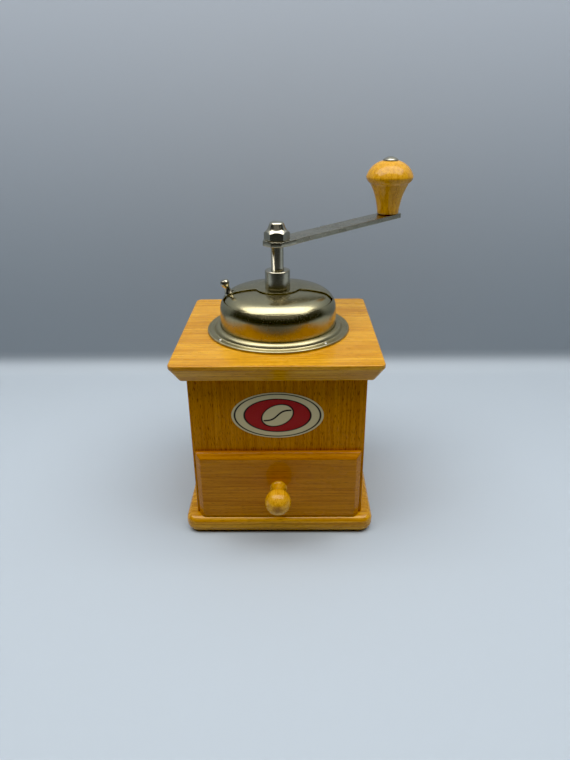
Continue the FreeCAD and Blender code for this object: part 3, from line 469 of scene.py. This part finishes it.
# %% Nickel, steel and iron
NICKEL = (0.44, 0.395, 0.240)
SHEET_TARNISH = (0.19, 0.15, 0.07)
nickel_sheet = metal("old_nickel_sheet", NICKEL, SHEET_TARNISH, 0.75, 0.45, 0.22, 0.24)
nickel_ring = metal("old_nickel_ring", NICKEL, SHEET_TARNISH, 0.85, 0.6, 0.34, 0.24)
nickel_turned = metal("old_nickel_turned", (0.50, 0.47, 0.37), (0.22, 0.17, 0.08), 0.55, 0.5, 0.20, 0.14)
nickel_arm = metal("old_nickel_arm", (0.46, 0.43, 0.33), (0.13, 0.11, 0.07), 0.9, 0.8, 0.22, 0.22,
                   edge=0.0005)
steel = metal("plain_steel", (0.42, 0.41, 0.38), (0.18, 0.14, 0.10), 0.5, 0.5, 0.32, 0.10)
iron = metal("cast_iron", (0.09, 0.09, 0.09), (0.14, 0.08, 0.05), 0.8, 0.6, 0.6, 0.6, 0.7, 0.0004)
print("metal finishes ready")

# %% [markdown]
# ## Shape helpers
#
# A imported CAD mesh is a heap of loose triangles. A copy of it, with its points merged and its flat faces
# joined up, can be smooth where the part is curved and crisp where it is flat. This helper makes such a
# mesh a finished piece, which stands in for its CAD part and rides on the same body. Broad flat faces and
# round flat ends are shaded flat, or else smooth shading would streak across them.

# %% Finish a piece
BROAD_FACE = 90 * MM**2
ROUND_END, ROUND_END_CORNERS = 8 * MM**2, 8


def finish_piece(name, mesh_bm, body, material, node, smooth):
    """Turn a bmesh into a piece that rides on a body and stands in for a CAD node."""
    bmesh.ops.remove_doubles(mesh_bm, verts=mesh_bm.verts, dist=1e-6)
    mesh = bpy.data.meshes.new(name)
    mesh_bm.to_mesh(mesh)
    mesh_bm.free()
    mesh.shade_smooth()
    mesh.set_sharp_from_angle(angle=math.radians(smooth))
    for face in mesh.polygons:
        round_end = len(face.vertices) > ROUND_END_CORNERS and face.area > ROUND_END
        if face.area > BROAD_FACE or round_end:
            face.use_smooth = False
    piece = bpy.data.objects.new(name, mesh)
    bpy.context.scene.collection.objects.link(piece)
    mesh.materials.append(material)
    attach(piece, body)
    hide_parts(node)
    print(name, "has", len(mesh.polygons), "faces")


# %% [markdown]
# Two kinds of copy are used. A smooth copy keeps the CAD shape. An eased copy has its sharp edges
# bevelled as well, which is how a board gets its sanded edges.

# %% Copies of CAD parts
def merged_copy(node):
    """Bmesh of a CAD node with its loose triangles joined."""
    mesh_bm = bmesh.new()
    mesh_bm.from_mesh(nodes[node].data)
    bmesh.ops.remove_doubles(mesh_bm, verts=mesh_bm.verts, dist=1e-6)
    bmesh.ops.dissolve_limit(mesh_bm, angle_limit=math.radians(0.3), verts=mesh_bm.verts,
                             edges=mesh_bm.edges)
    return mesh_bm


def smooth_copy(name, node, body, material, smooth=35.0):
    """CAD node with its own shape, smooth across angles below the given one, in degrees."""
    finish_piece(name, merged_copy(node), body, material, node, smooth)


def eased_copy(name, node, body, material, radius, segments=3):
    """CAD node with flat faces joined up again and its sharp edges rounded."""
    mesh_bm = merged_copy(node)
    sharp = [edge for edge in mesh_bm.edges
             if len(edge.link_faces) == 2 and edge.calc_face_angle() > math.radians(30)]
    bmesh.ops.bevel(mesh_bm, geom=sharp, offset=radius, segments=segments, profile=0.5, affect="EDGES",
                    clamp_overlap=True, material=-1)
    finish_piece(name, mesh_bm, body, material, node, 50.0)


print("copy helpers ready")

# %% [markdown]
# ## The wooden box
#
# The boards are flat, so a CAD copy with its triangles joined into flat faces can be given small
# rounded edges. Those thin roundings catch the light, as hand-sanded edges do. The top and base boards
# keep the edges that the CAD gives them.

# %% Box boards
WALL_EDGE = 0.6 * MM
WALL_BOARDS = {"front_board": "front_panel", "left_board": "left_side", "right_board": "right_side",
               "back_board": "back_panel"}
for board, node in WALL_BOARDS.items():
    eased_copy(board, node, "box", lacquer_upright, WALL_EDGE)
smooth_copy("lid_board", "top_board", "box", lacquer_across)
smooth_copy("foot_board", "base_board", "box", lacquer_across)

# %% [markdown]
# ## The drawer and the turned knobs
#
# Only the drawer's front and its pull are lacquered. Its sides, back and floor stay raw, with smaller
# roundings. The pull and the crank's grip are turned, so they stay smooth up to wide angles.

# %% Drawer boards and knobs
eased_copy("drawer_face", "drawer_front", "drawer", lacquer_drawer, 0.0007)
for side in ("left", "right"):
    eased_copy(f"drawer_{side}_board", f"drawer_{side}_side", "drawer", raw_across, 0.0004)
eased_copy("drawer_rear_board", "drawer_back", "drawer", raw_floor, 0.0004)
eased_copy("drawer_floor_board", "drawer_floor", "drawer", raw_floor, 0.0003)
smooth_copy("drawer_pull", "drawer_knob", "drawer", lacquer_pull, 60.0)
smooth_copy("crank_grip", "crank_knob", "grip", lacquer_turned, 60.0)

# %% [markdown]
# ## Metal parts
#
# The metal parts keep their CAD shape, as clean merged copies. Their materials round the edges a
# little where light catches them. The crank arm is a flat bar, so its edges are really bevelled.

# %% Metal finishes
METAL_FINISHES = {
    nickel_sheet: ["hopper_dome", "hopper_lid", "bean_funnel"],
    nickel_ring: ["flange_ring"],
    nickel_turned: ["upper_bearing", "lid_knob", "cap_nut", "knob_pin", "drive_shaft"],
    steel: ["base_screws", "flange_nails", "bearing_nut", "housing_screws", "bridge_screws", "cross_pin",
            "adjusting_screw", "thrust_ball"],
    iron: ["burr_housing", "bearing_bridge", "ring_burr", "cone_burr"],
}
body_of_node = {node: body for body, members in frame["record"]["behaviour"]["bodies"].items()
                for node in members}
for finish, names in METAL_FINISHES.items():
    for node in names:
        smooth_copy(node + "_metal", node, body_of_node[node], finish, 32.0)
eased_copy("crank_bar", "crank_arm", "crank", nickel_arm, 0.0007)

# %% [markdown]
# ## The front label
#
# A thin printed transfer under the lacquer, with a plain emblem: a coffee bean on a cream oval. The oval
# takes its place and size from the label's own box. A group measures how far out a point lies in an oval,
# and a step turns that into a clean printed edge.

# %% Ovals and edges
label_low, label_high = (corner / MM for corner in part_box("front_label"))
LABEL_HEIGHT = (label_low.z + label_high.z) / 2
LABEL_HALF = ((label_high.x - label_low.x) / 2, (label_high.z - label_low.z) / 2)


def make_oval_group():
    """Distance from an oval's middle: 1 on its outline. X and Z of the vector are in millimetres."""
    group, source, sink = new_group(
        "oval_distance", [("Vector", VECTOR, None), ("Half Width", FLOAT, 1.0), ("Half Height", FLOAT, 1.0)],
        [("Distance", FLOAT)])
    split = group.nodes.new("ShaderNodeSeparateXYZ")
    group.links.new(source.outputs["Vector"], split.inputs[0])
    across = add_math(group, "DIVIDE", split.outputs["X"], source.outputs["Half Width"])
    upward = add_math(group, "DIVIDE", split.outputs["Z"], source.outputs["Half Height"])
    group.links.new(add_distance(group, across, upward), sink.inputs["Distance"])
    return group


def add_oval(tree, group, vector, half_width, half_height):
    node = tree.nodes.new("ShaderNodeGroup")
    node.node_tree = group
    node.inputs["Half Width"].default_value = half_width
    node.inputs["Half Height"].default_value = half_height
    tree.links.new(vector, node.inputs["Vector"])
    return node.outputs["Distance"]


def add_step(tree, value, edge, softness):
    """0 below edge, 1 above it, with a soft change between."""
    node = tree.nodes.new("ShaderNodeMapRange")
    node.inputs["From Min"].default_value = edge - softness
    node.inputs["From Max"].default_value = edge + softness
    tree.links.new(value, node.inputs["Value"])
    return node.outputs[0]


print("label is", round(2 * LABEL_HALF[0], 1), "by", round(2 * LABEL_HALF[1], 1), "mm")

# %% [markdown]
# The print is laid down from the inside out: a red field, then rings of ink and cream toward the rim, and
# a cream bean with an ink outline and a wavy crease. Small worn spots let the wood show through.

# %% Label print
CREAM, INK, RED = (0.62, 0.53, 0.30), (0.018, 0.010, 0.008), (0.36, 0.020, 0.016)
RINGS = ((0.70, INK), (0.74, CREAM), (0.91, INK), (0.95, CREAM))
RING_BLUR, BEAN_BLUR = 0.008, 0.02
BEAN_HALF = (9.6, 6.6)
BEAN_TILT = math.radians(24)
CREASE_WAVE, CREASE_SWING, CREASE_HALF = 0.36, 1.1, 0.55


def add_bean(tree, colour, place, distance):
    """Cream bean over colour, with an ink outline and a crease; place is centred on the bean."""
    split = tree.nodes.new("ShaderNodeSeparateXYZ")
    tree.links.new(place, split.inputs[0])
    wave = add_math(tree, "SINE", add_math(tree, "MULTIPLY", split.outputs["X"], CREASE_WAVE))
    swing = add_math(tree, "MULTIPLY", wave, CREASE_SWING)
    crease = add_math(tree, "ABSOLUTE", add_math(tree, "SUBTRACT", split.outputs["Z"], swing))
    colour = add_mix(tree, add_step(tree, distance, 1.10, BEAN_BLUR), INK, colour)
    colour = add_mix(tree, add_step(tree, distance, 1.0, BEAN_BLUR), CREAM, colour)
    on_crease = add_math(tree, "SUBTRACT", 1.0, add_step(tree, crease, CREASE_HALF, 0.1))
    in_bean = add_math(tree, "SUBTRACT", 1.0, add_step(tree, distance, 0.96, BEAN_BLUR))
    return add_mix(tree, add_math(tree, "MULTIPLY", on_crease, in_bean), colour, INK)


def make_label_material():
    material, tree, shader = new_material("printed_transfer", (0.6, 0.5, 0.3))
    oval = make_oval_group()
    centred = object_vector(tree, shift=(0.0, 0.0, -LABEL_HEIGHT))
    turned = add_scaled(tree, centred, (1.0, 1.0, 1.0))
    turned.node.inputs["Rotation"].default_value = (0.0, BEAN_TILT, 0.0)
    rim = add_oval(tree, oval, centred, *LABEL_HALF)
    colour = RED
    for edge, outside in RINGS:
        colour = add_mix(tree, add_step(tree, rim, edge, RING_BLUR), colour, outside)
    colour = add_bean(tree, colour, turned, add_oval(tree, oval, turned, *BEAN_HALF))
    wear = add_noise(tree, centred, 1.6, 3.0, 0.6)
    worn = add_ramp(tree, wear, [(0.66, (0, 0, 0)), (0.72, (0.5, 0.5, 0.5))])
    tree.links.new(add_mix(tree, worn, colour, HONEY_DARK), shader.inputs["Base Color"])
    shader.inputs["Roughness"].default_value = 0.4
    shader.inputs["Specular IOR Level"].default_value = 0.2
    shader.inputs["Coat Weight"].default_value = 0.15
    shader.inputs["Coat Roughness"].default_value = 0.1
    return material


nodes["front_label"].data.materials.clear()
nodes["front_label"].data.materials.append(make_label_material())
print("label print:", len(RINGS), "rings and a bean")

# %% [markdown]
# ## Floor and backdrop
#
# A pale floor runs up into a plain wall through a small rounded corner. The sheet can be seen through
# from its back, so the wall never hides the mill from behind.

# %% Stage sheet
WALL_Y, COVE, COVE_STEPS = 0.205, 0.02, 8
FAR, WALL_HEIGHT = 3.0, 1.6


def make_stage_mesh():
    """Floor, rounded corner and wall as one sheet, and more floor behind the wall for views from there."""
    mesh_bm = bmesh.new()
    bend_y = WALL_Y - COVE
    line = [Vector((-FAR, -FAR, 0.0)), Vector((-FAR, bend_y, 0.0))]
    for step in range(1, COVE_STEPS + 1):
        angle = math.pi / 2 * step / COVE_STEPS
        line.append(Vector((-FAR, bend_y + COVE * math.sin(angle), COVE - COVE * math.cos(angle))))
    line.append(Vector((-FAR, WALL_Y, WALL_HEIGHT)))
    verts = [mesh_bm.verts.new(point) for point in line]
    edges = [mesh_bm.edges.new(pair) for pair in zip(verts, verts[1:])]
    sheet = bmesh.ops.extrude_edge_only(mesh_bm, edges=edges)
    moved = [item for item in sheet["geom"] if isinstance(item, bmesh.types.BMVert)]
    bmesh.ops.translate(mesh_bm, verts=moved, vec=(2 * FAR, 0, 0))
    behind = ((-FAR, bend_y, 0), (FAR, bend_y, 0), (FAR, FAR, 0), (-FAR, FAR, 0))
    mesh_bm.faces.new([mesh_bm.verts.new(corner) for corner in behind])
    mesh = bpy.data.meshes.new("stage")
    mesh_bm.to_mesh(mesh)
    mesh_bm.free()
    mesh.shade_smooth()
    return mesh


stage_mesh = make_stage_mesh()
print("stage sheet has", len(stage_mesh.polygons), "faces")

# %% [markdown]
# The paper is grey-blue. Its wall has painted light: about half as bright low on the wall as high up, as the
# overhead light falls off down it. Toward the camera the floor fades to nearly black, a painted shade. From
# the front that part is out of view, but the plated metal mirrors it, and without something dark to mirror,
# metal looks like grey plastic.

# %% Stage paper
def add_fade(tree, value, low, high):
    """Smooth change from 0 at low to 1 at high."""
    node = tree.nodes.new("ShaderNodeMapRange")
    node.interpolation_type = "SMOOTHSTEP"
    node.inputs["From Min"].default_value = low
    node.inputs["From Max"].default_value = high
    tree.links.new(value, node.inputs["Value"])
    return node.outputs[0]


def make_paper():
    material, tree, shader = new_material("stage_paper", (0.6, 0.65, 0.7))
    place = tree.nodes.new("ShaderNodeSeparateXYZ")
    tree.links.new(object_vector(tree), place.inputs[0])
    depth, height = place.outputs["Y"], place.outputs["Z"]
    # Painted light: the wall is darker low down and brighter high up, as the overhead light falls off down
    # it.
    wall = add_mix(tree, add_fade(tree, height, 12.0, 420.0), (0.27, 0.31, 0.35), (0.56, 0.62, 0.70))
    pale = add_mix(tree, add_fade(tree, height, 4.0, 16.0), (0.45, 0.51, 0.57), wall)
    # Painted shade: toward the camera the floor fades to nearly black.
    paper = add_mix(tree, add_fade(tree, depth, -420.0, -270.0), (0.060, 0.067, 0.075), pale)
    tree.links.new(paper, shader.inputs["Base Color"])
    shader.inputs["Roughness"].default_value = 0.7
    clear = tree.nodes.new("ShaderNodeBsdfTransparent")
    side = tree.nodes.new("ShaderNodeNewGeometry")
    chooser = tree.nodes.new("ShaderNodeMixShader")
    tree.links.new(side.outputs["Backfacing"], chooser.inputs[0])
    tree.links.new(shader.outputs[0], chooser.inputs[1])
    tree.links.new(clear.outputs[0], chooser.inputs[2])
    tree.links.new(chooser.outputs[0], tree.nodes["Material Output"].inputs["Surface"])
    return material


stage_mesh.materials.append(make_paper())
stage = bpy.data.objects.new("stage", stage_mesh)
bpy.context.scene.collection.objects.link(stage)
print("stage paper:", stage_mesh.materials[0].name)

# %% [markdown]
# ## Light
#
# One wide soft light hangs straight overhead, a little toward the camera, and does nearly all the work.
# A weak one in front lifts the upright boards, and a dim blue room fills the shadows.

# %% Light
def make_soft_light(name, place, aim, size, power, colour):
    data = bpy.data.lights.new(name, "AREA")
    data.shape = "RECTANGLE"
    data.size, data.size_y = size
    data.energy = power
    data.color = colour
    light = bpy.data.objects.new(name, data)
    light.location = place
    light.rotation_euler = (Vector(aim) - Vector(place)).to_track_quat("-Z", "Y").to_euler()
    bpy.context.scene.collection.objects.link(light)


make_soft_light("overhead", (0.0, -0.14, 1.0), (0.0, -0.14, 0.0), (1.9, 0.7), 17.0, (1.0, 0.99, 0.97))
make_soft_light("front_fill", (0.0, -1.0, 0.95), (0.0, 0.0, 0.1), (1.6, 0.5), 0.5, (1.0, 0.97, 0.90))
world = bpy.data.worlds.new("soft_room")
bpy.context.scene.world = world
world.use_nodes = True
room = world.node_tree.nodes["Background"]
room.inputs["Color"].default_value = (0.55, 0.62, 0.72, 1.0)
room.inputs["Strength"].default_value = 0.05
